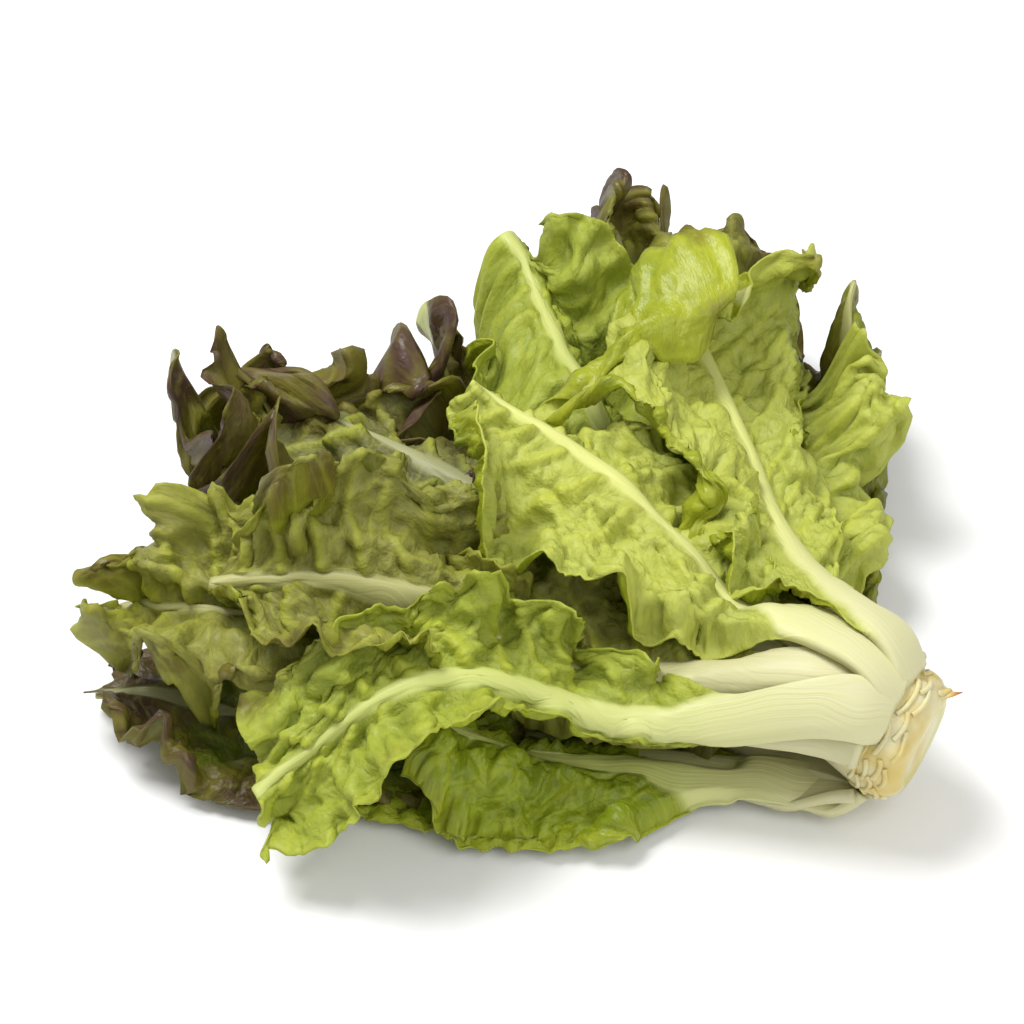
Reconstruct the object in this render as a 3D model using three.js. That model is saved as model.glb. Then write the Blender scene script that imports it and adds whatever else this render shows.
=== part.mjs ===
// A head of red-tipped leaf lettuce, lying on its side as it settles when it is put down.
// Twenty-one leaves grow round a short tapered stem. Each one is a closed sheet, thicker along
// its midrib, and each lies on the ones below it as in a loose pile, so no two leaves touch.
//
// Millimetres, +Z up, origin under the middle of the head's bounding box, on the surface.
// The leaves fan out from an apex a little way behind the cut end of the stem: in plan, every row
// of a leaf's points is one distance from that apex, and a leaf's place is an azimuth about it.
import * as THREE from "three";

const { degToRad, lerp, smoothstep } = THREE.MathUtils;

// The head.
const HEAD_AZIMUTH = degToRad(150); // the way the stem points, from the cut end to the leaf tips
const CUT_END = 45; // apex to the middle of the cut end
const STALK_HALF = 9.5; // half the width of a leaf where it joins the stem
const WIDEST_AT = 0.66; // share of a leaf's length at which its blade is widest
const FRILL = 3; // height of the waves along a leaf's edge
const FRILLS = 4; // waves along each edge
const BLADE = 1.1; // thickness of the blade
const STALK_THICK = 3.6; // extra thickness of the midrib at the foot of an outermost leaf
const RIB_THICK = 0.7; // and near the tip of any leaf
const OUTERMOST = 62; // distance from the apex of the foot of an outermost leaf
const SLIM = 70; // how much further out a foot has to be for the midrib to lose its thickness
const RIB_HALF = 7; // half the width of the midrib at the stem
const RIB_HALF_TIP = 1.6; // and near the tip
const REST_GAP = 0.4; // clearance between two leaves at the stem
const LOOSE_GAP = 8.6; // clearance between two leaves where the head is loose
const LOOSE_FROM = 90; // distances from the apex over which the clearance opens up
const LOOSE_TO = 230;

// The stem: a cone with a rounded shoulder and a trimmed cut end.
const STEM_TILT = degToRad(8); // the stem's rise towards the leaves
const STEM_HEIGHT = 24; // middle of the cut end above the surface, unless the leaves lift it
const STEM_PROFILE = [
  // [radius, distance from the cut end]
  [18.5, 0],
  [21.5, 2],
  [23, 8],
  [21.5, 16],
  [17.5, 27],
  [12, 39],
  [6, 51],
  [0, 57],
];
const STEM_SIDES = 20;
const STEM_STEPS = 12;

// The mesh of a leaf, and how the pile is worked out.
const ALONG = 15; // cells from stem to tip
const ACROSS = 8; // cells from edge to edge, with the midrib in the middle two
const CELL = 2.5; // spacing of the map of the pile's height
const SAMPLES = 5; // places tested along each side of a leaf's cell
const FILL = 14; // places marked along each side of a leaf's cell
const STIFFNESS = 24; // rounds of smoothing: the more, the less a leaf sags between supports

// Each leaf: its azimuths at even steps from stem to tip, the distances from the apex of its foot
// and its tip, its half width, and how far its tip curls up. They are in the order they lie in.
const GREEN = 0x9fb944;
const PALE = 0xc3d17c;
const BRONZE = 0x8c8a4a;
const DARK = 0x5b4f3f;
const BELOW_STEM = {
  outer_leaf_1: { turn: [157, 162, 163, 163], foot: 70, reach: 272, half: 46, rise: 0, colour: GREEN },
  outer_leaf_2: { turn: [143, 135, 131, 128], foot: 70, reach: 272, half: 48, rise: 8, colour: GREEN },
  outer_leaf_3: { turn: [135, 123, 116, 111], foot: 66, reach: 206, half: 34, rise: 6, colour: BRONZE },
  middle_leaf_1: { turn: [161, 166, 169, 171], foot: 84, reach: 304, half: 34, rise: 10, colour: DARK },
  middle_leaf_2: { turn: [151, 151, 152, 153], foot: 84, reach: 316, half: 46, rise: 22, colour: DARK },
  middle_leaf_3: { turn: [141, 130, 124, 120], foot: 84, reach: 272, half: 42, rise: 20, colour: BRONZE },
  outer_leaf_4: { turn: [159, 165, 170, 173], foot: 62, reach: 206, half: 34, rise: 0, colour: GREEN },
};
const ABOVE_STEM = {
  heart_leaf_1: { turn: [152, 152, 153, 154], foot: 106, reach: 250, half: 34, rise: 8, colour: PALE },
  heart_leaf_2: { turn: [147, 143, 140, 138], foot: 106, reach: 240, half: 32, rise: 12, colour: PALE },
  inner_leaf_1: { turn: [156, 155, 155, 155], foot: 94, reach: 318, half: 42, rise: 48, colour: DARK },
  inner_leaf_2: { turn: [144, 138, 134, 132], foot: 94, reach: 276, half: 40, rise: 26, colour: GREEN },
  inner_leaf_3: { turn: [150, 148, 147, 146], foot: 94, reach: 312, half: 44, rise: 50, colour: DARK },
  middle_leaf_4: { turn: [132, 120, 112, 106], foot: 78, reach: 212, half: 28, rise: 34, colour: BRONZE },
  middle_leaf_5: { turn: [163, 165, 166, 167], foot: 78, reach: 318, half: 38, rise: 34, colour: BRONZE },
  middle_leaf_6: { turn: [141, 129, 121, 117], foot: 78, reach: 296, half: 36, rise: 48, colour: BRONZE },
  middle_leaf_7: { turn: [149, 137, 131, 128], foot: 78, reach: 298, half: 34, rise: 32, colour: GREEN },
  middle_leaf_8: { turn: [135, 125, 118, 115], foot: 78, reach: 212, half: 30, rise: 12, colour: PALE },
  outer_leaf_5: { turn: [159, 161, 163, 163], foot: 66, reach: 278, half: 44, rise: 4, colour: BRONZE },
  outer_leaf_6: { turn: [167, 169, 171, 179], foot: 62, reach: 252, half: 24, rise: -14, colour: GREEN },
  outer_leaf_7: { turn: [153, 147, 144, 145], foot: 64, reach: 226, half: 40, rise: 6, colour: PALE },
  outer_leaf_8: { turn: [143, 129, 121, 117], foot: 62, reach: 246, half: 46, rise: 32, colour: PALE },
};

// The height of the top of the pile, on a square grid in plan.
class Pile {
  constructor() {
    this.heights = new Map();
  }

  key(column, row) {
    return column * 100000 + row;
  }

  raise(x, y, z) {
    const key = this.key(Math.round(x / CELL), Math.round(y / CELL));
    this.heights.set(key, Math.max(z, this.heights.get(key) ?? 0));
  }

  at(x, y) {
    const column = Math.floor(x / CELL);
    const row = Math.floor(y / CELL);
    let top = 0;
    for (const i of [0, 1]) {
      for (const j of [0, 1]) {
        top = Math.max(top, this.heights.get(this.key(column + i, row + j)) ?? 0);
      }
    }
    return top;
  }
}

const distanceOf = (leaf, s) => lerp(leaf.foot, leaf.reach, s);

// Half the width of a leaf: a narrow stalk, a blade that widens, and a round tip.
function halfWidth(leaf, s) {
  const blade = lerp(STALK_HALF, leaf.half, smoothstep(s, 0.1, 0.62));
  const past = Math.max(0, s - WIDEST_AT) / (1.05 * (1 - WIDEST_AT));
  return blade * Math.sqrt(1 - past * past);
}

const ribHalf = (s) => lerp(RIB_HALF, RIB_HALF_TIP, s ** 0.7);

// The extra thickness of a midrib: the further inside the head a leaf is, the slimmer.
function ribThick(leaf, s) {
  const atFoot = STALK_THICK * (1 - (leaf.foot - OUTERMOST) / SLIM);
  return lerp(atFoot, RIB_THICK, smoothstep(s, 0, 0.7));
}

// A leaf's azimuth, from the four in its list.
function azimuthOf(leaf, s) {
  const curve = new THREE.SplineCurve(leaf.turn.map((angle) => new THREE.Vector2(angle, 0)));
  return degToRad(curve.getPoint(s).x);
}

// Where the mesh's columns stand, from -1 at one edge to 1 at the other.
function columnsAt(leaf, s) {
  const rib = Math.min(0.75, ribHalf(s) / halfWidth(leaf, s));
  const half = [rib, lerp(rib, 1, 1 / 3), lerp(rib, 1, 2 / 3), 1];
  return [...half.map((t) => -t).reverse(), 0, ...half];
}

// A leaf's points in plan, row by row, with the thickness above and below each.
function planOf(leaf, ribUp) {
  const rows = [];
  for (let i = 0; i <= ALONG; i++) {
    const s = (i / ALONG) ** 1.12;
    const distance = distanceOf(leaf, s);
    const azimuth = azimuthOf(leaf, s);
    const frill = FRILL * s * Math.sin(2 * Math.PI * FRILLS * s + 2 * azimuth);
    const row = columnsAt(leaf, s).map((t, column) => {
      const angle = azimuth - (t * halfWidth(leaf, s)) / distance;
      const rib = ribThick(leaf, s) * ([1, 0.2][Math.abs(column - ACROSS / 2)] ?? 0);
      return {
        x: distance * Math.cos(angle),
        y: distance * Math.sin(angle),
        distance,
        up: BLADE / 2 + (ribUp ? rib : 0),
        down: BLADE / 2 + (ribUp ? 0 : rib),
        bend: leaf.rise * s * s + t * t * frill,
        z: 0,
      };
    });
    rows.push(row);
  }
  return rows;
}

// The value inside a cell with these corners, on each of its two diagonals.
function onDiagonals(q00, q10, q01, q11, a, b) {
  const first =
    a > b ? q00 + a * (q10 - q00) + b * (q11 - q10) : q00 + b * (q01 - q00) + a * (q11 - q01);
  const second =
    a + b < 1
      ? q00 + a * (q10 - q00) + b * (q01 - q00)
      : q11 + (1 - a) * (q01 - q11) + (1 - b) * (q10 - q11);
  return [first, second];
}

// Calls visit(corners, weights, x, y, a, b) at evenly spread places in each cell of a leaf.
function overCells(rows, steps, visit) {
  for (let i = 0; i < ALONG; i++) {
    for (let j = 0; j < ACROSS; j++) {
      const corners = [rows[i][j], rows[i][j + 1], rows[i + 1][j], rows[i + 1][j + 1]];
      for (let m = 0; m <= steps; m++) {
        for (let n = 0; n <= steps; n++) {
          const a = m / steps;
          const b = n / steps;
          const weights = [(1 - a) * (1 - b), a * (1 - b), (1 - a) * b, a * b];
          const x = corners.reduce((sum, c, k) => sum + weights[k] * c.x, 0);
          const y = corners.reduce((sum, c, k) => sum + weights[k] * c.y, 0);
          visit(corners, weights, x, y, a, b);
        }
      }
    }
  }
}

const gapAt = (x, y) =>
  REST_GAP + (LOOSE_GAP - REST_GAP) * smoothstep(Math.hypot(x, y), LOOSE_FROM, LOOSE_TO);

// One round of smoothing: each point moves halfway to the mean of its neighbours, its own curl
// and theirs left aside.
function smooth(rows) {
  const next = rows.map((row, i) =>
    row.map((point, j) => {
      const around = [rows[i - 1]?.[j], rows[i + 1]?.[j], row[j - 1], row[j + 1]].filter(Boolean);
      const mean = around.reduce((sum, p) => sum + p.z - p.bend, 0) / around.length;
      return lerp(point.z, mean + point.bend, 0.5);
    }),
  );
  rows.forEach((row, i) => row.forEach((point, j) => (point.z = next[i][j])));
}

// Lifts a leaf off the pile wherever its underside is nearer than the gap.
function lift(rows, pile) {
  overCells(rows, SAMPLES, (corners, weights, x, y, a, b) => {
    const under = corners.map((c) => c.z - c.down);
    const lowest = Math.min(...onDiagonals(...under, a, b));
    const ground = pile.at(x, y);
    const short = ground + (ground > 0 ? gapAt(x, y) : 0) - lowest;
    if (short <= 0) return;
    const share = weights.reduce((sum, w) => sum + w * w, 0);
    corners.forEach((c, k) => (c.z += (short * weights[k]) / share));
  });
}

// Lays a leaf on the pile, and adds it to the pile.
function lay(rows, pile) {
  rows.flat().forEach((point) => {
    point.z = pile.at(point.x, point.y) + point.down + point.bend;
  });
  for (let round = 0; round < STIFFNESS; round++) {
    smooth(rows);
    lift(rows, pile);
  }
  lift(rows, pile);
  overCells(rows, FILL, (corners, weights, x, y, a, b) => {
    pile.raise(x, y, Math.max(...onDiagonals(...corners.map((c) => c.z + c.up), a, b)));
  });
}

// A leaf as one closed sheet: a box whose top and bottom are the leaf's two faces.
function leafMesh(name, leaf, rows) {
  const geometry = new THREE.BoxGeometry(2, 2, 2, ACROSS, ALONG, 1);
  const place = geometry.getAttribute("position");
  for (let k = 0; k < place.count; k++) {
    const column = Math.round(((place.getX(k) + 1) / 2) * ACROSS);
    const row = Math.round(((place.getY(k) + 1) / 2) * ALONG);
    const point = rows[row][column];
    const z = place.getZ(k) > 0 ? point.z + point.up : point.z - point.down;
    place.setXYZ(k, point.x, point.y, z);
  }
  geometry.computeVertexNormals();
  const material = new THREE.MeshStandardMaterial({ color: leaf.colour, roughness: 0.55 });
  const mesh = new THREE.Mesh(geometry, material);
  mesh.name = name;
  return mesh;
}

// The stem, turned about its own axis and laid over to point at the leaves.
function stemMesh() {
  const curve = new THREE.SplineCurve(STEM_PROFILE.map(([r, v]) => new THREE.Vector2(r, v)));
  const outline = curve.getPoints(STEM_STEPS);
  outline.unshift(new THREE.Vector2(0, 0));
  outline[outline.length - 1].x = 0;
  const geometry = new THREE.LatheGeometry(outline, STEM_SIDES);
  const material = new THREE.MeshStandardMaterial({ color: 0xe6e0b4, roughness: 0.6 });
  const mesh = new THREE.Mesh(geometry, material);
  mesh.name = "stem";
  const axis = new THREE.Vector3(
    Math.cos(STEM_TILT) * Math.cos(HEAD_AZIMUTH),
    Math.cos(STEM_TILT) * Math.sin(HEAD_AZIMUTH),
    Math.sin(STEM_TILT),
  );
  mesh.quaternion.setFromUnitVectors(new THREE.Vector3(0, 1, 0), axis);
  mesh.position.set(
    CUT_END * Math.cos(HEAD_AZIMUTH),
    CUT_END * Math.sin(HEAD_AZIMUTH),
    STEM_HEIGHT,
  );
  mesh.updateMatrixWorld();
  return mesh;
}

// Points spread over the faces of the stem.
function pointsOn(mesh) {
  const place = mesh.geometry.getAttribute("position");
  const index = mesh.geometry.index.array;
  const corner = [new THREE.Vector3(), new THREE.Vector3(), new THREE.Vector3()];
  const points = [];
  for (let k = 0; k < index.length; k += 3) {
    corner.forEach((c, n) => mesh.localToWorld(c.fromBufferAttribute(place, index[k + n])));
    for (let a = 0; a <= SAMPLES; a++) {
      for (let b = 0; a + b <= SAMPLES; b++) {
        const point = corner[0].clone().multiplyScalar((SAMPLES - a - b) / SAMPLES);
        point.addScaledVector(corner[1], a / SAMPLES).addScaledVector(corner[2], b / SAMPLES);
        points.push(point);
      }
    }
  }
  return points;
}

// How far the stem has to rise to clear the leaves below it.
function shortfall(mesh, pile) {
  return pointsOn(mesh).reduce((most, p) => Math.max(most, pile.at(p.x, p.y) + REST_GAP - p.z), 0);
}

const head = new THREE.Group();
const pile = new Pile();
for (const [name, leaf] of Object.entries(BELOW_STEM)) {
  const rows = planOf(leaf, false);
  lay(rows, pile);
  head.add(leafMesh(name, leaf, rows));
}
const stem = stemMesh();
stem.position.z += shortfall(stem, pile);
stem.updateMatrixWorld();
pointsOn(stem).forEach((p) => pile.raise(p.x, p.y, p.z));
head.add(stem);
for (const [name, leaf] of Object.entries(ABOVE_STEM)) {
  const rows = planOf(leaf, true);
  lay(rows, pile);
  head.add(leafMesh(name, leaf, rows));
}

const box = new THREE.Box3().setFromObject(head);
const middle = box.getCenter(new THREE.Vector3());
head.position.set(-middle.x, -middle.y, -box.min.z);

export default head;
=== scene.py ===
"""Looks of a loose-leaf lettuce: ruffled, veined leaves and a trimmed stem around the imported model."""

import math
from types import SimpleNamespace

import bpy
import numpy as np
from mathutils import Matrix, Vector


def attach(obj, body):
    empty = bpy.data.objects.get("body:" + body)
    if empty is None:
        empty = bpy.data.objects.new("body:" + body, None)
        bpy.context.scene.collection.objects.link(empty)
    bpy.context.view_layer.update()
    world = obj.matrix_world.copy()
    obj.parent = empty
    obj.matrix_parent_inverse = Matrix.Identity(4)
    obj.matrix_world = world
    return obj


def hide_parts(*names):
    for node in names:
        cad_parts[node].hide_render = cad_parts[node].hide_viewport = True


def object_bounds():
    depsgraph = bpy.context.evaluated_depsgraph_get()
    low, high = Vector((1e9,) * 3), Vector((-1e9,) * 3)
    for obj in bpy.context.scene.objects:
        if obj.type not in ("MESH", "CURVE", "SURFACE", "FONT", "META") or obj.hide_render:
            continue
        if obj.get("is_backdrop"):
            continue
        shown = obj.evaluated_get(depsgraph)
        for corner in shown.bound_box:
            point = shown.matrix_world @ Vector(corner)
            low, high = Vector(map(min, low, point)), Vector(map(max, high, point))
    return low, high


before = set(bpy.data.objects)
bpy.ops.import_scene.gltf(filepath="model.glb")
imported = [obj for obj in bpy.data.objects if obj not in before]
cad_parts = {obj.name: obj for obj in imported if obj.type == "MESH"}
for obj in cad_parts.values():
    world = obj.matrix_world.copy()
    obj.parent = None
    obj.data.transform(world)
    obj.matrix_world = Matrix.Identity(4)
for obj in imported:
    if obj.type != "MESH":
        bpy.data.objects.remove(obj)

bl_info = {
    "name": "Loose-leaf Lettuce",
    "version": (1, 0, 0),
    "blender": (4, 5, 0),
    "location": "3D View > Sidebar > Lettuce",
    "description": "Grows ruffled leaves and a cut stem around the packed lettuce",
    "category": "Add Mesh",
}

MM = 0.001
GOLDEN_ANGLE = math.radians(137.5)

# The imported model: the way from the stem's cut into the leaves, how far beyond the cut their fan starts,
# the points across a packed leaf, half its blade's thickness, and its height above the floor.
HEAD_AZIMUTH = math.radians(150)
STEM_TILT = math.radians(8)
CUT_TO_APEX = 45 * MM
CAD_COLUMNS = 9
CAD_BLADE_HALF = 0.55 * MM
FLOOR_GAP = 0.4 * MM

# Stalks: half their width at the stem, the bare stem below them, and the length over which they open out.
STALK_HALF = 10 * MM
STUMP = 14 * MM
OPENING = 40 * MM

# The outline's lobes and teeth.
LOBE_LENGTH = 33 * MM
LOBE_DEPTH = 5 * MM
TOOTH_LENGTH = 5.2 * MM
TOOTH_DEPTH = 1.3 * MM

# Pressing leaves down under those above: the gap left, the points that the pressure spreads over and how
# softly, and the cells of the map of heights that it is read from.
PRESSED_GAP = 0.8 * MM
PRESSED_REACH = 7
PRESSED_BLUR = 4.5
MAP_CELL = 2 * MM
MAP_HALF = 110

# The deepest puff or vein below a blade's middle surface, and the points along and across a leaf's grid.
SURFACE_DEPTH = 3.4 * MM
FINE_GRID = (190, 101)
COARSE_GRID = (130, 71)

# One entry for each leaf, the top of the pile first. blush is how bronze it is from stalk to tip. curl is
# the angle in radians by which the tip turns up, from and upto where along the leaf that starts and ends.
# swing and sweep turn the whole leaf and its tip to the left, roll turns the sides up, ruffle is the depth
# of the frilled margin, bare the length of stalk without a blade, lift how far the leaf is raised, long how
# far its tip is drawn out, and give the furthest that it can be pressed down. wide stretches the blade near
# the stalk, half way and near the tip, on both sides or on the left and the right. turnover folds a margin
# over: its side, where it starts and ends, and the fold's angle.
PLAIN = {
    "blush": (0, 0.3), "curl": 0.2, "from": 0.8, "upto": 1.0, "swing": 0.0, "sweep": 0.0, "roll": 0.1,
    "ruffle": 1.0, "bare": 30 * MM, "lift": 0.0, "long": 0.0, "give": 60 * MM, "wide": (1.05, 1.05, 1.2),
    "turnover": (0, 0.0, 1.0, 0.0),
}
LEAVES = {
    "outer_leaf_8": {
        "slot": "pale_leaf", "blush": (0, 0.2), "curl": 2.5, "from": 0.84, "upto": 0.92, "ruffle": 0.8,
        "bare": 8 * MM, "lift": -12 * MM, "long": 14 * MM, "wide": ((1.9, 1.1, 1.8), (1.2, 0.85, 1.8)),
        "turnover": (1, 0.42, 0.78, 2.5),
    },
    "outer_leaf_7": {
        "slot": "pale_leaf", "blush": (0, 0.15), "curl": 0.5, "ruffle": 0.7, "give": 16 * MM,
        "wide": (1.2, 1.15, 1.3),
    },
    "outer_leaf_6": {
        "slot": "green_leaf", "blush": (0, 0.2), "curl": -0.2, "from": 0.7, "swing": -0.03, "sweep": 0.06,
        "ruffle": 1.2, "bare": 45 * MM, "lift": -27 * MM, "give": 16 * MM,
        "wide": ((0.5, 0.4, 1.3), (1, 1.3, 1.7)),
    },
    "outer_leaf_5": {
        "slot": "bronze_leaf", "blush": (0, 0.33), "curl": -0.3, "sweep": 0.25, "roll": 0, "ruffle": 0.9,
        "lift": -19 * MM, "give": 16 * MM, "wide": ((0.4, 0.35, 0.95), (1.1, 1.1, 1.3)),
    },
    "middle_leaf_8": {
        "slot": "pale_leaf", "blush": (0, 0.1), "curl": 0.3, "from": 0.7, "swing": -0.09, "ruffle": 1.3,
        "wide": (1.2, 1, 1),
    },
    "middle_leaf_7": {
        "slot": "green_leaf", "blush": (0, 0.15), "curl": 0.35, "from": 0.7, "sweep": -0.3, "roll": 0.2,
    },
    "middle_leaf_6": {
        "slot": "bronze_leaf", "blush": (0.1, 0.75), "curl": 0.35, "from": 0.7, "long": 8 * MM,
        "wide": (1.1, 1.4, 2),
    },
    "middle_leaf_5": {
        "slot": "bronze_leaf", "blush": (0, 0.35), "curl": -0.8, "from": 0.75, "swing": -0.03, "roll": 0,
        "give": 16 * MM, "wide": ((0.4, 0.45, 1.1), (1.05, 1.05, 1.2)),
    },
    "middle_leaf_4": {
        "slot": "bronze_leaf", "blush": (0, 0.4), "curl": 0.3, "from": 0.7, "swing": -0.07, "lift": 25 * MM,
        "long": 14 * MM, "wide": (1, 1.1, 1.5),
    },
    "inner_leaf_3": {
        "slot": "dark_leaf", "blush": (0, 0.75), "curl": 0.15, "from": 0.7, "ruffle": 1.8, "lift": -4 * MM,
        "wide": (1, 1.2, 1.5),
    },
    "inner_leaf_2": {
        "slot": "green_leaf", "blush": (0.1, 0.85), "curl": 0.5, "from": 0.7, "swing": 0.08, "roll": 0.2,
        "ruffle": 2, "lift": 20 * MM, "long": 28 * MM, "wide": (1, 1.3, 2),
    },
    "inner_leaf_1": {
        "slot": "dark_leaf", "blush": (0.1, 0.85), "curl": 0.1, "from": 0.7, "swing": -0.12, "roll": -0.3,
        "ruffle": 1.3, "lift": 8 * MM, "long": 18 * MM, "wide": (1, 1.2, 1.5),
    },
    "heart_leaf_2": {"slot": "pale_leaf", "blush": (0, 0.1), "ruffle": 0.7},
    "heart_leaf_1": {"slot": "pale_leaf", "blush": (0, 0.1), "ruffle": 0.7},
    "outer_leaf_4": {
        "slot": "green_leaf", "blush": (0, 0), "swing": -0.05, "ruffle": 0.7, "bare": 45 * MM,
        "give": 16 * MM, "wide": ((1, 1.05, 1.1), (1, 1.6, 1.5)),
    },
    "middle_leaf_3": {"slot": "bronze_leaf", "blush": (0, 0.5)},
    "middle_leaf_2": {"slot": "dark_leaf", "blush": (0.1, 0.7)},
    "middle_leaf_1": {
        "slot": "dark_leaf", "blush": (0.1, 0.75), "curl": 0.5, "swing": -0.1, "sweep": -0.05, "roll": 0.2,
        "lift": 8 * MM, "long": 12 * MM, "wide": (1, 1.2, 1.5),
    },
    "outer_leaf_3": {"slot": "bronze_leaf", "blush": (0, 0.4), "roll": 0, "ruffle": 0.6},
    "outer_leaf_2": {"slot": "green_leaf", "roll": 0, "ruffle": 0.6},
    "outer_leaf_1": {"slot": "green_leaf", "roll": 0, "ruffle": 0.6},
}
PILE = list(LEAVES)
OUTER = PILE[:4]
MIDDLE = PILE[4:9]
INNER = PILE[9:14]
UNDER = PILE[14:]
FINE = OUTER + MIDDLE + ["outer_leaf_4", "inner_leaf_1", "inner_leaf_3"]


def colour(red, green, blue):
    """A display colour from 0 to 255 as the linear colour that Blender works in."""
    return tuple(((c / 255 + 0.055) / 1.055) ** 2.4 for c in (red, green, blue))


# ---------------------------------------------------------------- settings


class LeafSettings(bpy.types.PropertyGroup):
    """Sizes shared by every leaf."""

    thickness: bpy.props.FloatProperty(
        name="Blade thickness", description="Thickness of the blade between its veins",
        default=0.6 * MM, min=0.2 * MM, unit="LENGTH",
    )
    rib_width: bpy.props.FloatProperty(
        name="Rib width", description="Width of the midrib where it leaves the stem",
        default=17 * MM, unit="LENGTH",
    )
    rib_height: bpy.props.FloatProperty(
        name="Rib height", description="How far the midrib stands out at the back, at the stem",
        default=4.5 * MM, unit="LENGTH",
    )
    blister_size: bpy.props.FloatProperty(
        name="Blister size", description="Spacing of the puffed cells between the veins",
        default=11 * MM, unit="LENGTH",
    )
    blister_height: bpy.props.FloatProperty(
        name="Blister height", description="How far the cells between the veins puff out",
        default=3 * MM, unit="LENGTH",
    )
    vein_spacing: bpy.props.FloatProperty(
        name="Side vein spacing", description="Distance between side veins along the midrib",
        default=15 * MM, unit="LENGTH",
    )
    vein_height: bpy.props.FloatProperty(
        name="Side vein height", description="How far the side veins stand out at the back",
        default=3.4 * MM, unit="LENGTH",
    )
    ruffle_length: bpy.props.FloatProperty(
        name="Ruffle length", description="Length of one large wave of the margin",
        default=34 * MM, unit="LENGTH",
    )
    ruffle_angle: bpy.props.FloatProperty(
        name="Ruffle angle", description="Steepest turn of the large waves at the margin",
        default=math.radians(30), subtype="ANGLE",
    )
    frill_length: bpy.props.FloatProperty(
        name="Frill length", description="Length of one small frill of the margin",
        default=10 * MM, unit="LENGTH",
    )
    frill_angle: bpy.props.FloatProperty(
        name="Frill angle", description="Steepest turn of the small frills at the margin",
        default=math.radians(34), subtype="ANGLE",
    )


class LeafColours(bpy.types.PropertyGroup):
    """Colours of the leaves, their ribs and the cut stem."""

    rib: bpy.props.FloatVectorProperty(
        name="Rib", description="Pale midrib near the stem",
        subtype="COLOR", default=colour(216, 211, 172), min=0, max=1,
    )
    # Fresh yellow-green, also used as the painted glow along the leaf margins.
    young_and_glow: bpy.props.FloatVectorProperty(
        name="Young green", description="Yellow-green of thin, fresh tissue",
        subtype="COLOR", default=colour(208, 214, 60), min=0, max=1,
    )
    deep: bpy.props.FloatVectorProperty(
        name="Deep green", description="Dark green towards the tips",
        subtype="COLOR", default=colour(64, 80, 22), min=0, max=1,
    )
    bronze: bpy.props.FloatVectorProperty(
        name="Bronze", description="Olive bronze of the tanned tips",
        subtype="COLOR", default=colour(116, 104, 46), min=0, max=1,
    )
    purple: bpy.props.FloatVectorProperty(
        name="Purple", description="Dark red-purple of the most tanned tissue",
        subtype="COLOR", default=colour(84, 54, 58), min=0, max=1,
    )


class StemSettings(bpy.types.PropertyGroup):
    """Sizes of the leaf scars round the cut stem."""

    scar_count: bpy.props.IntProperty(
        name="Scars", description="Number of leaf scars round the stem", default=42, min=1,
    )
    scar_width: bpy.props.FloatProperty(
        name="Scar width", description="Width of a scar round the stem", default=17 * MM, unit="LENGTH",
    )
    scar_thickness: bpy.props.FloatProperty(
        name="Scar thickness", description="Thickness of a scar's ridge", default=2 * MM, unit="LENGTH",
    )
    scar_reach: bpy.props.FloatProperty(
        name="Scar reach", description="Length of stem that has scars", default=15 * MM, unit="LENGTH",
    )
    radius: bpy.props.FloatProperty(
        name="Stem radius", description="Rough radius at the cut", default=21 * MM, unit="LENGTH",
    )
    seed: bpy.props.IntProperty(name="Scar seed", description="Picks another set of scars", default=4)


class StageSettings(bpy.types.PropertyGroup):
    """Camera, floor and light."""

    elevation: bpy.props.FloatProperty(
        name="Camera elevation", description="Angle of the view above the horizon",
        default=math.radians(42), subtype="ANGLE",
    )
    distance: bpy.props.FloatProperty(
        name="Camera distance", description="Distance from the camera to what it looks at",
        default=1.015, unit="LENGTH",
    )
    lens: bpy.props.FloatProperty(
        name="Lens", description="Focal length in millimetres", default=105, unit="CAMERA",
    )
    key_power: bpy.props.FloatProperty(
        name="Key light", description="Power of the main soft light", default=14, unit="POWER",
    )
    sky: bpy.props.FloatProperty(
        name="Surrounding light", description="Strength of the even light from all around", default=0.4,
    )


# ---------------------------------------------------------------- node helpers


def add(tree, kind, inputs=None, **settings):
    """A new node with its settings, and its inputs set to values or linked to sockets."""
    made = tree.nodes.new(kind)
    for key, value in settings.items():
        setattr(made, key, value)
    for key, value in (inputs or {}).items():
        if isinstance(value, bpy.types.NodeSocket):
            tree.links.new(value, made.inputs[key])
        else:
            made.inputs[key].default_value = value
    return made


def out(tree, kind, inputs=None, **settings):
    """The first output of a new node."""
    return add(tree, kind, inputs, **settings).outputs[0]


def maths(tree, operation, a, b=0.0):
    """The result of one operation on two numbers or sockets."""
    return out(tree, "ShaderNodeMath", {0: a, 1: b}, operation=operation)


def times(tree, a, b):
    """The product of two numbers or sockets."""
    return maths(tree, "MULTIPLY", a, b)


def plus(tree, a, b):
    """The sum of two numbers or sockets."""
    return maths(tree, "ADD", a, b)


def ramp(tree, value, low, high, bottom=0.0, top=1.0):
    """value taken smoothly from low and high to bottom and top."""
    inputs = {"Value": value, 1: low, 2: high, 3: bottom, 4: top}
    return add(tree, "ShaderNodeMapRange", inputs, interpolation_type="SMOOTHSTEP").outputs["Result"]


def tint(tree, factor, first, second):
    """A colour between first and second."""
    inputs = {0: factor}
    for index, value in ((6, first), (7, second)):
        inputs[index] = value if isinstance(value, bpy.types.NodeSocket) else (*value, 1)
    return add(tree, "ShaderNodeMix", inputs, data_type="RGBA").outputs[2]


# ---------------------------------------------------------------- materials


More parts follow.
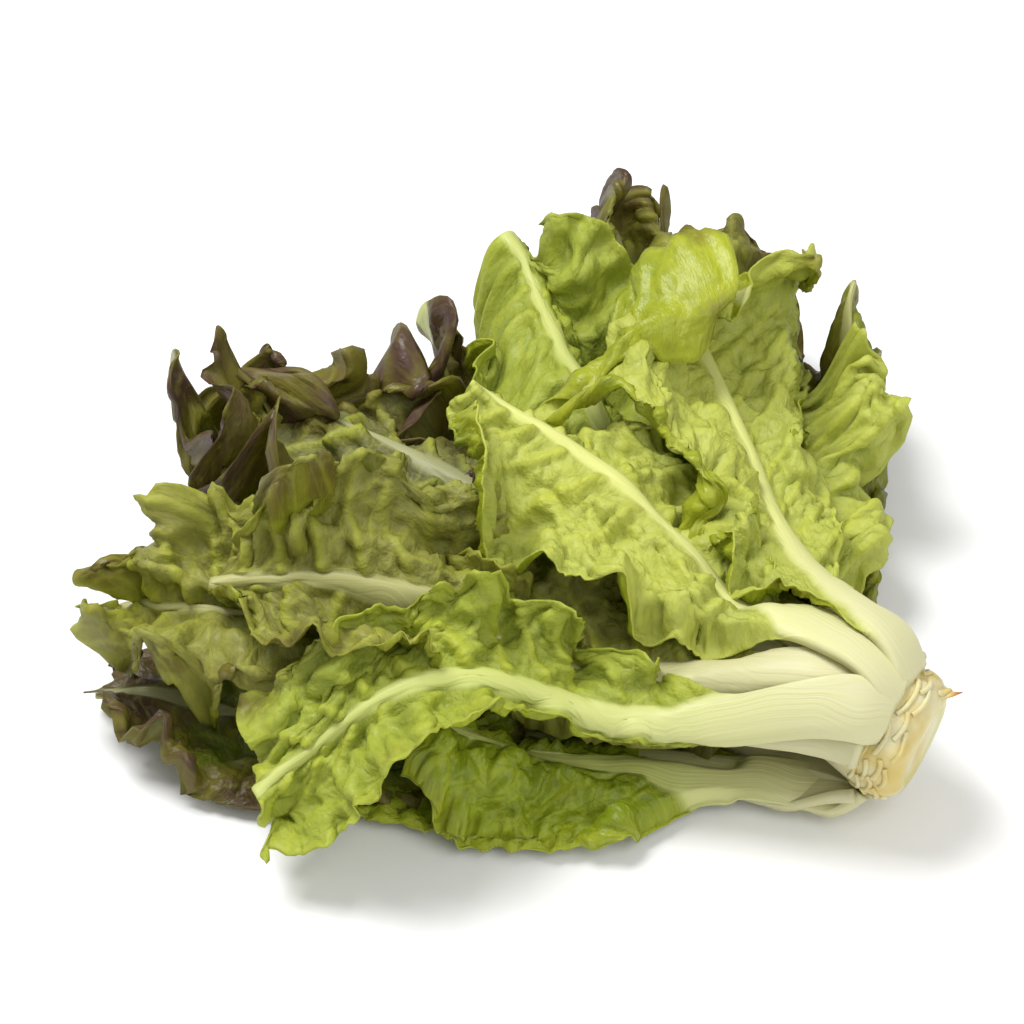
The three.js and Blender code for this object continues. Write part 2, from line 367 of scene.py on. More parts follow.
# Each leaf finish's light and dark green and the colour of its back.
FINISHES = {
    "pale_leaf": (colour(200, 208, 62), colour(158, 174, 44), colour(208, 214, 112)),
    "green_leaf": (colour(188, 204, 48), colour(142, 162, 36), colour(176, 186, 82)),
    "bronze_leaf": (colour(150, 154, 54), colour(108, 112, 40), colour(162, 160, 82)),
    "dark_leaf": (colour(124, 146, 42), colour(76, 94, 30), colour(132, 124, 86)),
}


def new_finish(slot):
    """An empty material named after a slot, and its node tree."""
    material = bpy.data.materials.new(slot + "_finish")
    material.use_nodes = True
    material.node_tree.nodes.clear()
    return material, material.node_tree


def leaf_material(slot, light, dark, back):
    """Leaf tissue: pale ribs, a vein network, tanned tips and thin margins that let light through, with a
    painted glow along them too.
    """
    shades = bpy.context.scene.leaf_colours
    sizes = bpy.context.scene.leaf_settings
    material, tree = new_finish(slot)

    def attribute(name):
        return add(tree, "ShaderNodeAttribute", attribute_name=name)

    flat = attribute("flat").outputs["Vector"]
    rib = attribute("rib").outputs["Fac"]
    vein = attribute("vein").outputs["Fac"]
    blush = attribute("blush").outputs["Fac"]
    edge = attribute("edge").outputs["Fac"]
    face = attribute("face").outputs["Fac"]
    place = add(tree, "ShaderNodeTexCoord").outputs["Object"]

    def noise(scale, detail=3.0, vector=place):
        inputs = {"Vector": vector, "Scale": scale, "Detail": detail}
        return add(tree, "ShaderNodeTexNoise", inputs).outputs["Fac"]

    def network(size):
        inputs = {"Vector": flat, "Scale": 1 / size, "Randomness": 0.9}
        settings = {"voronoi_dimensions": "2D", "feature": "DISTANCE_TO_EDGE"}
        return add(tree, "ShaderNodeTexVoronoi", inputs, **settings).outputs["Distance"]

    veins = ramp(tree, network(sizes.blister_size), 0.0, 0.09, 1.0, 0.0)
    veinlets = ramp(tree, network(sizes.blister_size / 3.4), 0.0, 0.14, 1.0, 0.0)
    patches = ramp(tree, noise(22), 0.36, 0.66)
    mottle = noise(260, 2.0)

    blade = tint(tree, patches, light, dark)
    blade = tint(tree, times(tree, ramp(tree, mottle, 0.35, 0.7), 0.16), blade, shades.deep)
    # Painted glow: the margins are tinted towards a pale yellow-green, as if lit through from behind.
    blade = tint(tree, times(tree, edge, 0.55), blade, shades.young_and_glow)
    pale_back = times(tree, maths(tree, "SUBTRACT", 1.0, face), 0.7)
    blade = tint(tree, pale_back, blade, back)
    blade = tint(tree, times(tree, face, 0.22), blade, shades.deep)

    tan = plus(tree, blush, times(tree, maths(tree, "SUBTRACT", noise(34, 5.0), 0.5), 1.8))
    tan = times(tree, tan, ramp(tree, face, 0, 1, 0.75, 1.0))
    blade = tint(tree, ramp(tree, tan, 0.25, 0.6), blade, shades.bronze)
    blade = tint(tree, ramp(tree, tan, 0.6, 0.95, 0.0, 0.85), blade, shades.purple)

    lines = maths(tree, "MAXIMUM", times(tree, veins, 0.24), times(tree, vein, 0.55))
    lines = maths(tree, "MAXIMUM", lines, times(tree, veinlets, 0.12))
    lines = times(tree, lines, ramp(tree, blush, 0.3, 1.0, 1.0, 0.6))
    blade = tint(tree, lines, blade, shades.young_and_glow)
    strands = out(tree, "ShaderNodeMapping", {"Vector": flat, "Scale": (14, 900, 1)})
    grain = noise(1.0, 2.0, strands)
    stalk = tint(tree, times(tree, ramp(tree, grain, 0.35, 0.7), 0.15), shades.rib, shades.young_and_glow)
    upper_rib = tuple(0.3 * a + 0.4 * b + 0.3 * c for a, b, c in zip(light, back, shades.rib))
    stalk = tint(tree, attribute("along").outputs["Fac"], stalk, upper_rib)
    skin = tint(tree, rib, blade, stalk)

    rough = plus(tree, ramp(tree, face, 0, 1, 0.5, 0.26), times(tree, mottle, 0.14))
    pucker = noise(300, 4.0, flat)
    relief = plus(tree, times(tree, pucker, 1.6), times(tree, mottle, 0.4))
    relief = times(tree, relief, maths(tree, "SUBTRACT", 1.0, rib))
    relief = plus(tree, relief, times(tree, times(tree, grain, rib), 0.3))
    bump = out(tree, "ShaderNodeBump", {"Height": relief, "Strength": 0.8, "Distance": 1.4 * MM})
    surface = out(tree, "ShaderNodeBsdfPrincipled", {
        "Base Color": skin, "Roughness": rough, "Normal": bump, "IOR": 1.42, "Specular IOR Level": 0.45,
        "Coat Weight": 0.12, "Coat Roughness": 0.22,
    })
    glow = tint(tree, 0.45, skin, shades.young_and_glow)
    through = out(tree, "ShaderNodeBsdfTranslucent", {"Color": glow, "Normal": bump})
    share = ramp(tree, rib, 0.0, 1.0, 0.34, 0.08)
    mixed = out(tree, "ShaderNodeMixShader", {0: share, 1: surface, 2: through})
    add(tree, "ShaderNodeOutputMaterial", {"Surface": mixed})
    return material


def stem_material():
    """Cut lettuce stem: moist cream flesh, a greener ring in its face and brown, dried edges."""
    shades = bpy.context.scene.leaf_colours
    material, tree = new_finish("stem")
    place = add(tree, "ShaderNodeTexCoord").outputs["Object"]

    def noise(scale, detail=3.0):
        inputs = {"Vector": place, "Scale": scale, "Detail": detail}
        return add(tree, "ShaderNodeTexNoise", inputs).outputs["Fac"]

    dry = add(tree, "ShaderNodeAttribute", attribute_name="dry").outputs["Fac"]
    flesh = tint(tree, ramp(tree, noise(70), 0.35, 0.7), shades.rib, colour(206, 184, 108))
    flesh = tint(tree, ramp(tree, noise(160), 0.5, 0.8, 0.0, 0.6), flesh, colour(214, 190, 96))
    stain = plus(tree, dry, times(tree, maths(tree, "SUBTRACT", noise(120, 5.0), 0.5), 0.9))
    ring = add(tree, "ShaderNodeAttribute", attribute_name="ring").outputs["Fac"]
    flesh = tint(tree, times(tree, ring, 0.55), flesh, colour(186, 188, 92))
    flesh = tint(tree, ramp(tree, stain, 0.35, 0.8), flesh, colour(176, 112, 52))
    flesh = tint(tree, ramp(tree, stain, 0.85, 1.1), flesh, colour(96, 54, 28))
    bump = out(tree, "ShaderNodeBump", {"Height": noise(420), "Strength": 0.4, "Distance": 0.5 * MM})
    rough = plus(tree, 0.36, times(tree, noise(90), 0.25))
    surface = out(tree, "ShaderNodeBsdfPrincipled", {
        "Base Color": flesh, "Roughness": rough, "Normal": bump,
        "Subsurface Weight": 0.25, "Subsurface Radius": (0.004, 0.003, 0.0015), "Subsurface Scale": 1.0,
    })
    add(tree, "ShaderNodeOutputMaterial", {"Surface": surface})
    return material


def material_for(slot):
    """The finish of one of the record's material slots, made once."""
    found = bpy.data.materials.get(slot + "_finish")
    if found:
        return found
    if slot == "stem":
        return stem_material()
    return leaf_material(slot, *FINISHES[slot])


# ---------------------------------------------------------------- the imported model's leaves and stem


def cad_points(node):
    """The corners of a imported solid, each once."""
    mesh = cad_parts[node].data
    found = np.zeros(len(mesh.vertices) * 3)
    mesh.vertices.foreach_get("co", found)
    return np.unique(np.round(found.reshape(-1, 3), 6), axis=0)


def turned(azimuth, tilt=0.0):
    """A unit vector at an azimuth, tilted up."""
    return np.array([
        math.cos(azimuth) * math.cos(tilt), math.sin(azimuth) * math.cos(tilt), math.sin(tilt),
    ])


AXIS = turned(HEAD_AZIMUTH, STEM_TILT)
STEM_POINTS = cad_points("stem")
STEM_ALONG = STEM_POINTS @ AXIS
CUT = STEM_POINTS[STEM_ALONG < STEM_ALONG.min() + 0.5 * MM].mean(0)
APEX = CUT[:2] - CUT_TO_APEX * turned(HEAD_AZIMUTH)[:2]


def stem_radius(distance):
    """The stem's radius at a distance in from its cut end."""
    along = (STEM_POINTS - CUT) @ AXIS
    radius = np.linalg.norm(STEM_POINTS - CUT - along[:, None] * AXIS, axis=1)
    order = np.argsort(along)
    outside = radius[order] > 0.5 * np.interp(along[order], [0, 57 * MM], [30 * MM, 0])
    return np.interp(distance, along[order][outside], radius[order][outside])


def cad_sheet(node, rib_up):
    """The middle surface of a packed leaf, as rows from stalk to tip of points across it."""
    points = cad_points(node)
    plan = points[:, :2] - APEX
    reach = np.hypot(plan[:, 0], plan[:, 1])
    rows = []
    for chunk in np.argsort(reach, kind="stable").reshape(-1, 2 * CAD_COLUMNS):
        bearing = np.arctan2(plan[chunk, 1], plan[chunk, 0]) % (2 * math.pi)
        pairs = points[chunk[np.argsort(bearing, kind="stable")]].reshape(CAD_COLUMNS, 2, 3)
        middle = pairs.mean(1)
        low, high = pairs[:, :, 2].min(1), pairs[:, :, 2].max(1)
        middle[:, 2] = low + CAD_BLADE_HALF if rib_up else high - CAD_BLADE_HALF
        rows.append(middle)
    return np.array(rows)


def with_foot(sheet):
    """The sheet carried on from its stalk to the side of the stem, which it clasps."""
    foot = sheet[0, CAD_COLUMNS // 2]
    inside = (foot - CUT) @ AXIS
    out = foot - CUT - inside * AXIS
    out /= np.linalg.norm(out)
    side = np.cross(out, AXIS)
    if side @ (sheet[0, -1] - sheet[0, 0]) < 0:
        side = -side
    half = np.linalg.norm(sheet[0, -1] - sheet[0, 0]) / 2
    rows = []
    for share in (0.0, 0.3, 0.62):
        distance = np.interp(share, [0, 1], [STUMP, max(inside, STUMP + 6 * MM)])
        radius = stem_radius(distance)
        centre = CUT + distance * AXIS
        angles = np.linspace(-1, 1, CAD_COLUMNS) * 0.9 * half / radius
        on_stem = centre + radius * (np.cos(angles)[:, None] * out + np.sin(angles)[:, None] * side)
        rows.append(on_stem * (1 - share ** 2) + (sheet[0] + (share - 1) * inside * AXIS) * share ** 2)
    return np.concatenate([np.array(rows), sheet])


# ---------------------------------------------------------------- shaping a leaf


def smooth_step(low, high, value):
    """0 below low, 1 above high and an S-curve between."""
    share = np.clip((value - low) / (high - low), 0, 1)
    return share * share * (3 - 2 * share)


def wander(x, y, size, seed):
    """Smooth random numbers from -1 to 1 over the plane, changing over about size."""
    lattice = np.random.default_rng(seed).uniform(-1, 1, (64, 64))
    x, y = x / size + 500, y / size + 500
    column, row = np.floor(x).astype(int), np.floor(y).astype(int)
    across, up = smooth_step(0, 1, x - column), smooth_step(0, 1, y - row)

    def corner(i, j):
        return lattice[(row + j) % 64, (column + i) % 64]

    low = corner(0, 0) * (1 - across) + corner(1, 0) * across
    high = corner(0, 1) * (1 - across) + corner(1, 1) * across
    return low * (1 - up) + high * up


def soften(values, axis, spread):
    """A blur along one axis that holds the ends and their slopes."""
    reach = int(3 * spread)
    if reach < 1:
        return values
    values = np.moveaxis(values, axis, 0)
    first = 2 * values[:1] - values[reach:0:-1]
    last = 2 * values[-1:] - values[-2:-reach - 2:-1]
    padded = np.concatenate([first, values, last])
    weights = np.exp(-0.5 * (np.arange(-reach, reach + 1) / spread) ** 2)
    weights /= weights.sum()
    total = sum(w * padded[i:i + len(values)] for i, w in enumerate(weights))
    return np.moveaxis(total, 0, axis)


def lengths(points):
    """The distance gone at each point along a line of points."""
    return np.concatenate([[0], np.cumsum(np.linalg.norm(np.diff(points, axis=0), axis=1))])


def resampled(sheet, rows, columns, leaf, seed):
    """The sheet as a fine grid with a lobed, toothed outline; with its lengths along and half-widths."""
    middle = CAD_COLUMNS // 2
    gone = lengths(sheet[:, middle])
    along = np.linspace(0, gone[-1], rows)
    fine = np.zeros((rows, CAD_COLUMNS, 3))
    for j, k in np.ndindex(CAD_COLUMNS, 3):
        fine[:, j, k] = np.interp(along, gone, sheet[:, j, k])
    fine = soften(fine, 0, 9 * MM / (along[1] - along[0]))
    shares = np.linspace(-1, 1, columns)
    wide = leaf["wide"] if isinstance(leaf["wide"][0], tuple) else (leaf["wide"], leaf["wide"])
    grid = np.zeros((rows, columns, 3))
    half = np.zeros((rows, columns))
    for side, widths in ((-1, wide[1]), (1, wide[0])):
        stretch = np.interp(along / along[-1], [0.15, 0.55, 0.95], widths)
        places = shares * side >= 0
        outward = np.abs(shares[places])
        lobes = 0.5 + 0.5 * wander(along, np.full(rows, side * 0.1), LOBE_LENGTH, seed)
        phase = along / TOOTH_LENGTH + 1.5 * wander(along, np.full(rows, 0.3 * side), 11 * MM, seed + 1)
        teeth = np.abs(phase % 1 - 0.5) * 2
        for i in range(rows):
            half_row = fine[i, middle:] if side > 0 else fine[i, middle::-1]
            half_row = half_row[0] + stretch[i] * (half_row - half_row[0])
            reach = lengths(half_row)
            growth = smooth_step(leaf["bare"], leaf["bare"] + OPENING, along[i])
            stalk = STALK_HALF * np.interp(along[i], [0, 80 * MM], [1, 0.68])
            edge = min(reach[-1], stalk) * (1 - growth) + reach[-1] * growth
            cut = growth * (LOBE_DEPTH * lobes[i] + TOOTH_DEPTH * teeth[i]) / max(edge, 1 * MM)
            at = edge * outward * (1 - min(cut, 0.4) * outward ** 3)
            for k in range(3):
                grid[i, places, k] = np.interp(at, reach, half_row[:, k])
            half[i, places] = edge
    grid = soften(grid, 1, columns / 26)
    return grid, along, half


def rotated(steps, axis, angle):
    """Steps turned about unit axes by angles."""
    c, s = np.cos(angle)[..., None], np.sin(angle)[..., None]
    along = (steps * axis).sum(-1, keepdims=True) * axis
    return steps * c + np.cross(axis, steps) * s + along * (1 - c)


def unit(vectors):
    """Vectors of length 1."""
    return vectors / np.maximum(np.linalg.norm(vectors, axis=-1, keepdims=True), 1e-12)


def bent_across(grid, angle):
    """The grid with every step out from the rib turned about the rib, and let out as it steepens."""
    middle = grid.shape[1] // 2
    axis = unit(np.gradient(grid[:, middle], axis=0))[:, None, :]
    turn = (angle[:, 1:] + angle[:, :-1]) / 2
    let_out = 1 / np.sqrt(np.maximum(np.cos(turn), 0.7))
    steps = rotated(np.diff(grid, axis=1), axis, turn) * let_out[..., None]
    made = grid.copy()
    made[:, middle + 1:] = grid[:, middle, None] + np.cumsum(steps[:, middle:], axis=1)
    made[:, :middle] = grid[:, middle, None] - np.cumsum(steps[:, :middle][:, ::-1], axis=1)[:, ::-1]
    return made


def bent_along(grid, angle):
    """The grid with every step towards the tip turned about the leaf's crosswise direction."""
    axis = unit(grid[:-1, -1] - grid[:-1, 0])[:, None, :]
    steps = rotated(np.diff(grid, axis=0), axis, (angle[1:] + angle[:-1]) / 2)
    made = grid.copy()
    made[1:] = grid[0] + np.cumsum(steps, axis=0)
    return made


def swept(grid, angle):
    """The grid with every step towards the tip turned in plan."""
    upward = np.broadcast_to([0.0, 0.0, 1.0], grid[:-1].shape)
    steps = rotated(np.diff(grid, axis=0), upward, (angle[1:] + angle[:-1]) / 2)
    made = grid.copy()
    made[1:] = grid[0] + np.cumsum(steps, axis=0)
    return made


def ceiling_over(grid, names):
    """For each point of the grid, the height of the lowest finished leaf above it in the pile."""

    def cells(points):
        found = np.clip((points[..., :2] / MAP_CELL + MAP_HALF).astype(int), 0, 2 * MAP_HALF - 1)
        return found[..., 0], found[..., 1]

    heights = np.full((2 * MAP_HALF, 2 * MAP_HALF), np.inf)
    for name in names:
        mesh = bpy.data.objects[name + "_blade"].data
        found = np.zeros(len(mesh.vertices) * 3)
        mesh.vertices.foreach_get("co", found)
        found = found.reshape(-1, 3)
        np.minimum.at(heights, cells(found), found[:, 2])
    around = [np.roll(heights, shift, (0, 1)) for shift in ((1, 0), (-1, 0), (0, 1), (0, -1))]
    return np.minimum.reduce([heights, *around])[cells(grid)]


def ruffles(at, leaf):
    """The angle by which the blade turns up about its rib: waves, frills, creases and a fold."""
    sizes = bpy.context.scene.leaf_settings
    u, side = at.u, at.side
    waves = np.sin(2 * math.pi * u / sizes.ruffle_length + 1.3 * side + 4.5 * at.noise(55 * MM, 2))
    waves *= 0.9 + 0.6 * at.noise(40 * MM, 10)
    waves += 0.4 * np.sin(4.3 * math.pi * u / sizes.ruffle_length + 4 * at.noise(30 * MM, 11)) + 0.3
    frills = np.sin(2 * math.pi * u / sizes.frill_length + 2 * side + 5 * at.noise(22 * MM, 3))
    frills *= 0.7 + 0.7 * at.noise(17 * MM, 12)
    frilled = at.blade * leaf["ruffle"] * (0.3 + 0.7 * smooth_step(0.12, 0.45, at.gone))
    swell = sizes.ruffle_angle * frilled * smooth_step(0, 1, 1 - at.to_side / (46 * MM))
    crimp = sizes.frill_angle * np.minimum(frilled, 1.4) * smooth_step(0, 1, 1 - at.to_side / (15 * MM))
    across = swell * waves + crimp * frills + leaf["roll"] * at.blade * np.abs(at.share)
    creases = 0.62 * at.noise(36 * MM, 4) + 0.58 * at.noise(17 * MM, 13)
    across += creases * at.blade * (0.2 + 0.8 * at.off_rib)
    turned_side, first, last, fold = leaf["turnover"]
    band = smooth_step(first - 0.08, first + 0.08, at.gone)
    band *= 1 - smooth_step(last - 0.08, last + 0.08, at.gone)
    folded = smooth_step(0, 1, 1 - (at.to_side - 9 * MM) / (10 * MM))
    return across + fold * band * (side == turned_side) * folded


def tip_curl(at, leaf):
    """The angle by which the blade turns up along its length: the tip's curl and waves, and creases."""
    wave_length = 0.9 * bpy.context.scene.leaf_settings.ruffle_length
    waves = np.sin(2 * math.pi * at.v / wave_length + 2 * at.noise(50 * MM, 5))
    tip = smooth_step(leaf["from"], leaf["upto"], at.gone) * leaf["curl"]
    tip += 0.6 * min(leaf["ruffle"], 1.1) * smooth_step(0, 1, 1 - at.to_tip / (30 * MM)) * waves
    creases = 0.4 * at.noise(42 * MM, 6) + 0.46 * at.noise(18 * MM, 14)
    return tip + creases * at.blade * (0.25 + 0.75 * at.off_rib)


def pressed(grid, at, leaf, names):
    """The grid pressed down under the finished leaves above it, as far as the leaf gives."""
    drop = np.maximum(grid[..., 2] - (ceiling_over(grid, names) - PRESSED_GAP), 0)
    for axis in (0, 1):
        shifts = range(-PRESSED_REACH, PRESSED_REACH + 1)
        drop = np.maximum.reduce([np.roll(drop, shift, axis) for shift in shifts])
        drop = soften(drop, axis, PRESSED_BLUR)
    drop = np.maximum(drop, 0)
    drop /= (1 + (drop / leaf["give"]) ** 4) ** 0.25
    grid[..., 2] -= drop * smooth_step(25 * MM, 50 * MM, at.u)
    return grid


def surface_facts(at, leaf):
    """What the leaf's surface and finish need to know at each point."""
    sizes = bpy.context.scene.leaf_settings
    u, v = at.u, at.v
    narrowing = np.array([1, 0.62, 0.22]) * sizes.rib_width / 2
    rib_half = np.interp(u, [0, 0.45 * at.length, at.length], narrowing)
    closed = 1 - smooth_step(leaf["bare"], leaf["bare"] + OPENING, u)
    beside = np.abs(v) / np.maximum(rib_half, 1.3 * at.half * closed)
    phase = (u - 0.8 * np.abs(v)) / sizes.vein_spacing + 0.25 * at.side + 0.45 * at.noise(28 * MM, 7)
    near = np.abs(phase - np.round(phase)) * sizes.vein_spacing
    veins = np.exp(-(near / (2 * MM)) ** 2) * (1 - np.abs(at.share)) ** 0.4 * at.blade
    ridge = np.sqrt(np.maximum(0, 1 - np.minimum(beside, 1) ** 2))
    start, end = leaf["blush"]
    to_margin = np.minimum(at.to_side, at.to_tip)
    blush = start + (end - start) * 0.7 * smooth_step(0.35, 1, at.gone)
    blush += 0.55 * end * smooth_step(0, 1, 1 - to_margin / (28 * MM))
    return {
        "rib": 1 - smooth_step(0.8, 1.15, beside),
        "rib_height": sizes.rib_height * np.interp(at.gone, [0, 0.5, 1], [1, 0.75, 0.25]) * ridge,
        "vein": veins * smooth_step(0.8, 1.4, beside) * (0.7 + 0.6 * at.noise(32 * MM, 15)),
        "calm": at.blade * smooth_step(0.9, 2.2, beside) * smooth_step(0, 1, at.to_side / (3 * MM)),
        "blush": np.clip(blush, 0, 1),
        # How near the margin a point is; the finish paints a glow there.
        "edge": smooth_step(0, 1, 1 - to_margin / (10 * MM)),
        "along": smooth_step(-0.1, 0.6, at.gone),
    }


def shaped(node, rib_up, leaf, rows, columns):
    """The leaf's grid, its flat pattern, the facts at its points, and 1 if it faces up or else -1."""
    seed = 100 + 10 * PILE.index(node)
    grid, along, half = resampled(with_foot(cad_sheet(node, rib_up)), rows, columns, leaf, seed)
    u = np.repeat(along[:, None], columns, axis=1)
    share = np.linspace(-1, 1, columns)[None, :].repeat(rows, 0)
    at = SimpleNamespace(u=u, v=share * half, share=share, half=half, side=np.sign(share), length=along[-1])
    at.gone = u / at.length
    at.to_side = (1 - np.abs(share)) * half
    at.to_tip = at.length - u
    at.blade = smooth_step(leaf["bare"] + 5 * MM, leaf["bare"] + 50 * MM, u)
    at.off_rib = smooth_step(3 * MM, 16 * MM, np.abs(at.v))
    at.noise = lambda size, step: wander(u, at.v, size, seed + step)

    facing = unit(np.cross(grid[1] - grid[0], grid[0, -1] - grid[0, 0])) @ [0, 0, 1]
    up = 1.0 if facing.mean() > 0 else -1.0
    grid = bent_across(grid, up * at.side * ruffles(at, leaf))
    onward = unit(grid[-1, columns // 2] - grid[int(0.7 * rows), columns // 2])
    grid += (leaf["long"] * at.gone ** 2)[..., None] * onward
    grid = bent_along(grid, -up * tip_curl(at, leaf))
    turn = leaf["swing"] * smooth_step(0.08, 0.35, at.gone) + leaf["sweep"] * smooth_step(0.55, 1, at.gone)
    grid = swept(grid, turn)
    grid[..., 2] += leaf["lift"] * smooth_step(0.1, 0.5, at.gone)
    grid = pressed(grid, at, leaf, PILE[:PILE.index(node)])

    facts = surface_facts(at, leaf)
    thickness = bpy.context.scene.leaf_settings.thickness
    below = 0 if rib_up else facts["rib_height"] + thickness
    grid[..., 2] = np.maximum(grid[..., 2], FLOOR_GAP + SURFACE_DEPTH + below)
    stray_u = 2.5 * MM * at.noise(13 * MM, 8)
    stray_v = 2.5 * MM * at.noise(13 * MM, 9)
    flat = np.stack([u + stray_u, at.v + stray_v, np.zeros_like(u)], -1)
    return grid, flat, facts, up


def grid_mesh(name, grid, flat, facts, flip, material):
    """A sheet of quads with the facts stored at its points."""
    rows, columns = grid.shape[:2]
    index = np.arange(rows * columns).reshape(rows, columns)
    corners = [index[:-1, :-1], index[1:, :-1], index[1:, 1:], index[:-1, 1:]]
    if flip:
        corners.reverse()
    mesh = bpy.data.meshes.new(name)
    faces = np.stack([c.ravel() for c in corners], -1)
    mesh.from_pydata(grid.reshape(-1, 3).tolist(), [], faces.tolist())
    for key, values in facts.items():
        layer = mesh.attributes.new(key, "FLOAT", "POINT")
        layer.data.foreach_set("value", values.ravel().astype(np.float32))
    layer = mesh.attributes.new("flat", "FLOAT_VECTOR", "POINT")
    layer.data.foreach_set("vector", flat.ravel().astype(np.float32))
    mesh.materials.append(material)
    return mesh


def new_tree(title, floats, whole=()):
    """A geometry nodes tree with its inputs declared, and the input node's sockets."""
    tree = bpy.data.node_groups.new(title, "GeometryNodeTree")
    kinds = [("Geometry", "Geometry"), *[(name, "Float") for name in floats]]
    kinds += [*[(name, "Int") for name in whole], ("Material", "Material")]
    for name, kind in kinds:
        tree.interface.new_socket(name, in_out="INPUT", socket_type="NodeSocket" + kind)
    tree.interface.new_socket("Geometry", in_out="OUTPUT", socket_type="NodeSocketGeometry")
    return tree, add(tree, "NodeGroupInput").outputs


def close_tree(tree, given, geometry):
    """Ends a tree: smooth, with its instances made real and its material set."""
    smooth = out(tree, "GeometryNodeSetShadeSmooth", {"Geometry": geometry, "Shade Smooth": True})
    real = out(tree, "GeometryNodeRealizeInstances", {"Geometry": smooth})
    inputs = {"Geometry": real, "Material": given["Material"]}
    finished = out(tree, "GeometryNodeSetMaterial", inputs)
    add(tree, "NodeGroupOutput", {"Geometry": finished})
    return tree


def joined(tree, *parts):
    """Geometries joined in reverse order."""
    both = add(tree, "GeometryNodeJoinGeometry")
    for part in parts:
        tree.links.new(part, both.inputs[0])
    return both.outputs[0]


def stored(tree, geometry, name, value):
    """Geometry with one number stored at all its points."""
    inputs = {"Geometry": geometry, "Name": name, "Value": value}
    kinds = {"data_type": "FLOAT", "domain": "POINT"}
    return out(tree, "GeometryNodeStoreNamedAttribute", inputs, **kinds)


def leaf_tree():
    """Geometry nodes that raise veins and blisters on a sheet and give it its thickness and rib."""
    found = bpy.data.node_groups.get("Leaf surface")
    if found:
        return found
    floats = ("Blister Size", "Blister Height", "Vein Height", "Thickness")
    tree, given = new_tree("Leaf surface", floats)

    def attribute(name, kind="FLOAT"):
        return out(tree, "GeometryNodeInputNamedAttribute", {"Name": name}, data_type=kind)

    def along_normal(amount):
        normal = out(tree, "GeometryNodeInputNormal")
        return out(tree, "ShaderNodeVectorMath", {0: normal, "Scale": amount}, operation="SCALE")

    flat = attribute("flat", "FLOAT_VECTOR")
    stray = add(tree, "ShaderNodeTexNoise", {
        "Vector": flat, "Scale": maths(tree, "DIVIDE", 0.8, given["Blister Size"]), "Detail": 2.0,
    }).outputs["Color"]
    stray = out(tree, "ShaderNodeVectorMath", {0: stray, 1: (0.5, 0.5, 0.5)}, operation="SUBTRACT")
    reach = times(tree, given["Blister Size"], 1.6)
    stray = out(tree, "ShaderNodeVectorMath", {0: stray, "Scale": reach}, operation="SCALE")
    bent = out(tree, "ShaderNodeVectorMath", {0: flat, 1: stray}, operation="ADD")
    cells = add(tree, "ShaderNodeTexVoronoi", {
        "Vector": bent, "Scale": maths(tree, "DIVIDE", 1.0, given["Blister Size"]), "Randomness": 0.9,
    }, voronoi_dimensions="2D", feature="DISTANCE_TO_EDGE").outputs["Distance"]
    folds = add(tree, "ShaderNodeTexNoise", {
        "Vector": flat, "Scale": maths(tree, "DIVIDE", 1.1, given["Blister Size"]),
        "Detail": 3.0, "Roughness": 0.55, "Distortion": 0.6,
    }).outputs["Fac"]
    puff = times(tree, ramp(tree, cells, 0.0, 0.4), 0.8)
    puff = plus(tree, puff, times(tree, maths(tree, "SUBTRACT", folds, 0.5), 4.0))
    puff = times(tree, times(tree, puff, given["Blister Height"]), attribute("calm"))
    vein = times(tree, attribute("vein"), given["Vein Height"])
    rise = maths(tree, "SUBTRACT", puff, vein)
    crinkled = out(tree, "GeometryNodeSetPosition", {
        "Geometry": given["Geometry"], "Offset": along_normal(rise),
    })
    thick = plus(tree, given["Thickness"], attribute("rib_height"))
    lower = stored(tree, crinkled, "face", 0.0)
    back = out(tree, "GeometryNodeExtrudeMesh", {
        "Mesh": out(tree, "GeometryNodeFlipFaces", {"Mesh": lower}),
        "Offset": along_normal(thick), "Offset Scale": 1.0, "Individual": False,
    }, mode="FACES")
    both = joined(tree, back, stored(tree, crinkled, "face", 1.0))
    closed = out(tree, "GeometryNodeMergeByDistance", {"Geometry": both, "Distance": 1e-6})
    return close_tree(tree, given, closed)


def plain_mesh(sheet, tree, values):
    """The mesh that a geometry nodes tree makes of a sheet, with the tree's inputs set by name."""
    carrier = bpy.data.objects.new(sheet.name, sheet)
    bpy.context.scene.collection.objects.link(carrier)
    modifier = carrier.modifiers.new("shape", "NODES")
    modifier.node_group = tree
    for item in tree.interface.items_tree:
        if item.in_out == "INPUT" and item.name in values:
            modifier[item.identifier] = values[item.name]
    bpy.context.view_layer.update()
    depsgraph = bpy.context.evaluated_depsgraph_get()
    evaluated = carrier.evaluated_get(depsgraph)
    made = bpy.data.meshes.new_from_object(evaluated, preserve_all_data_layers=True, depsgraph=depsgraph)
    bpy.data.objects.remove(carrier)
    bpy.data.meshes.remove(sheet)
    return made


def place(name, mesh, node, slot):
    """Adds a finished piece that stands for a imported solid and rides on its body."""
    piece = bpy.data.objects.new(name, mesh)
    bpy.context.scene.collection.objects.link(piece)
    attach(piece, "root")
    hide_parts(node)
    return piece


def grow_leaf(node):
    """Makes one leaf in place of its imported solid."""
    sizes = bpy.context.scene.leaf_settings
    leaf = {**PLAIN, **LEAVES[node]}
    rib_up = node not in UNDER
    grid, flat, facts, up = shaped(node, rib_up, leaf, *(FINE_GRID if node in FINE else COARSE_GRID))
    material = material_for(leaf["slot"])
    sheet = grid_mesh(node + "_sheet", grid, flat, facts, (up > 0) == rib_up, material)
    mesh = plain_mesh(sheet, leaf_tree(), {
        "Blister Size": sizes.blister_size, "Blister Height": sizes.blister_height,
        "Vein Height": sizes.vein_height, "Thickness": sizes.thickness, "Material": material,
    })
    if not mesh.polygons:
        raise RuntimeError(f"{node} came out empty")
    return place(node + "_blade", mesh, node, leaf["slot"])


